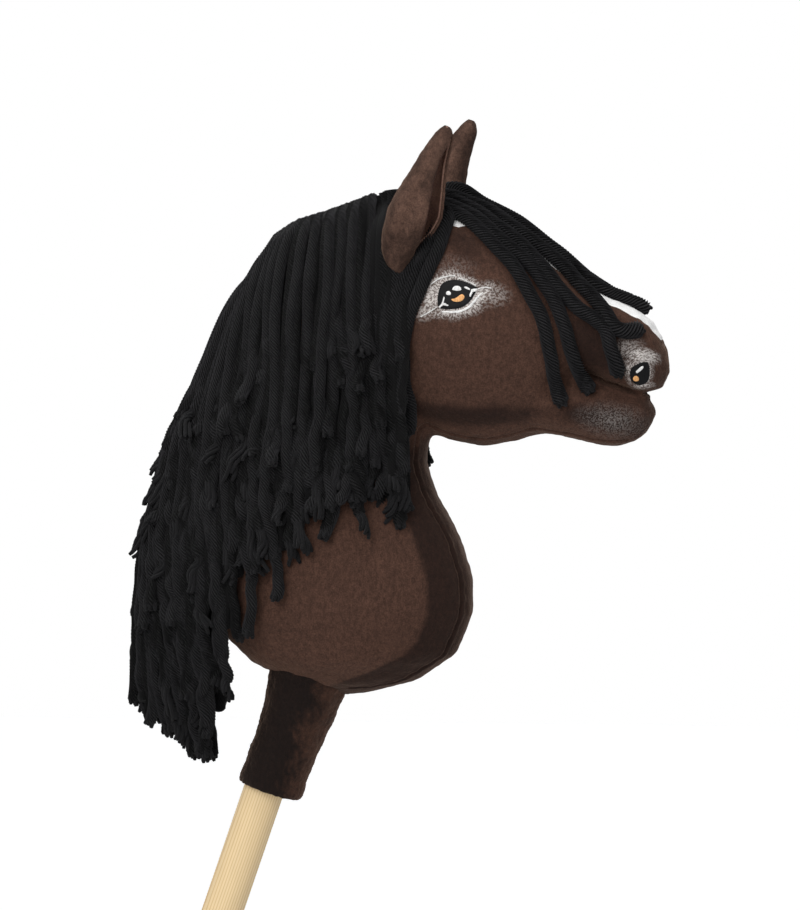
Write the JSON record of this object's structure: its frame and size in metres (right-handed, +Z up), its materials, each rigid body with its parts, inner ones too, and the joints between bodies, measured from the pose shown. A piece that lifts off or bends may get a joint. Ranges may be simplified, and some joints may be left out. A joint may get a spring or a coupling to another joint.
{
  "type": "hobby horse",
  "caption": "Stuffed plush hobby horse's head with a yarn mane and forelock, pulled onto a round wooden stick that it slides off.",
  "frame": {"origin": "the point on the stick's axis where a hand grips it, 60 mm below the cuff", "axes": "+X to the horse's nose, +Y to the horse's left side, +Z up; the stick leans back, its lower end towards -X"},
  "size_m": [0.4682, 0.1364, 0.9562],
  "materials": {
    "plush": "short-pile plush",
    "white_plush": "short-pile plush",
    "lining": "short-pile plush",
    "filling": "polyester fibre",
    "channel_cotton": "woven cotton",
    "pine": "sanded, bare",
    "black_paint": "textile paint, satin",
    "yarn": "thick twisted yarn"
  },
  "bodies": {
    "stick": {"stick": "pine"},
    "head": {"cheek_lock_left": "yarn", "cheek_lock_right": "yarn", "crest_tape": "yarn", "cuff_cover": "plush", "cuff_stuffing": "filling", "ear_left": "plush", "ear_lining_left": "lining", "ear_lining_right": "lining", "ear_right": "plush", "eye_left": "black_paint", "eye_right": "black_paint", "face_strip": "white_plush", "forelock_left_1": "yarn", "forelock_left_2": "yarn", "forelock_left_3": "yarn", "forelock_left_4": "yarn", "forelock_right_1": "yarn", "forelock_right_2": "yarn", "forelock_right_3": "yarn", "forelock_right_4": "yarn", "forelock_top": "yarn", "head_stuffing": "filling", "jaw_cover": "plush", "jaw_stuffing": "filling", "mane_lock_left_01": "yarn", "mane_lock_left_02": "yarn", "mane_lock_left_03": "yarn", "mane_lock_left_04": "yarn", "mane_lock_left_05": "yarn", "mane_lock_left_06": "yarn", "mane_lock_left_07": "yarn", "mane_lock_left_08": "yarn", "mane_lock_left_09": "yarn", "mane_lock_left_10": "yarn", "mane_lock_right_01": "yarn", "mane_lock_right_02": "yarn", "mane_lock_right_03": "yarn", "mane_lock_right_04": "yarn", "mane_lock_right_05": "yarn", "mane_lock_right_06": "yarn", "mane_lock_right_07": "yarn", "mane_lock_right_08": "yarn", "mane_lock_right_09": "yarn", "mane_lock_right_10": "yarn", "neck_stuffing": "filling", "nostril_left": "black_paint", "nostril_right": "black_paint", "side_panel_left": "plush", "side_panel_right": "plush", "stick_channel": "channel_cotton", "under_gusset": "plush"}
  },
  "joints": [
    {"name": "head_pull_off", "type": "slide", "parent": "stick", "child": "head", "axis": [0.3256, 0, 0.9455], "range_m": [0, 0.285]}
  ]
}
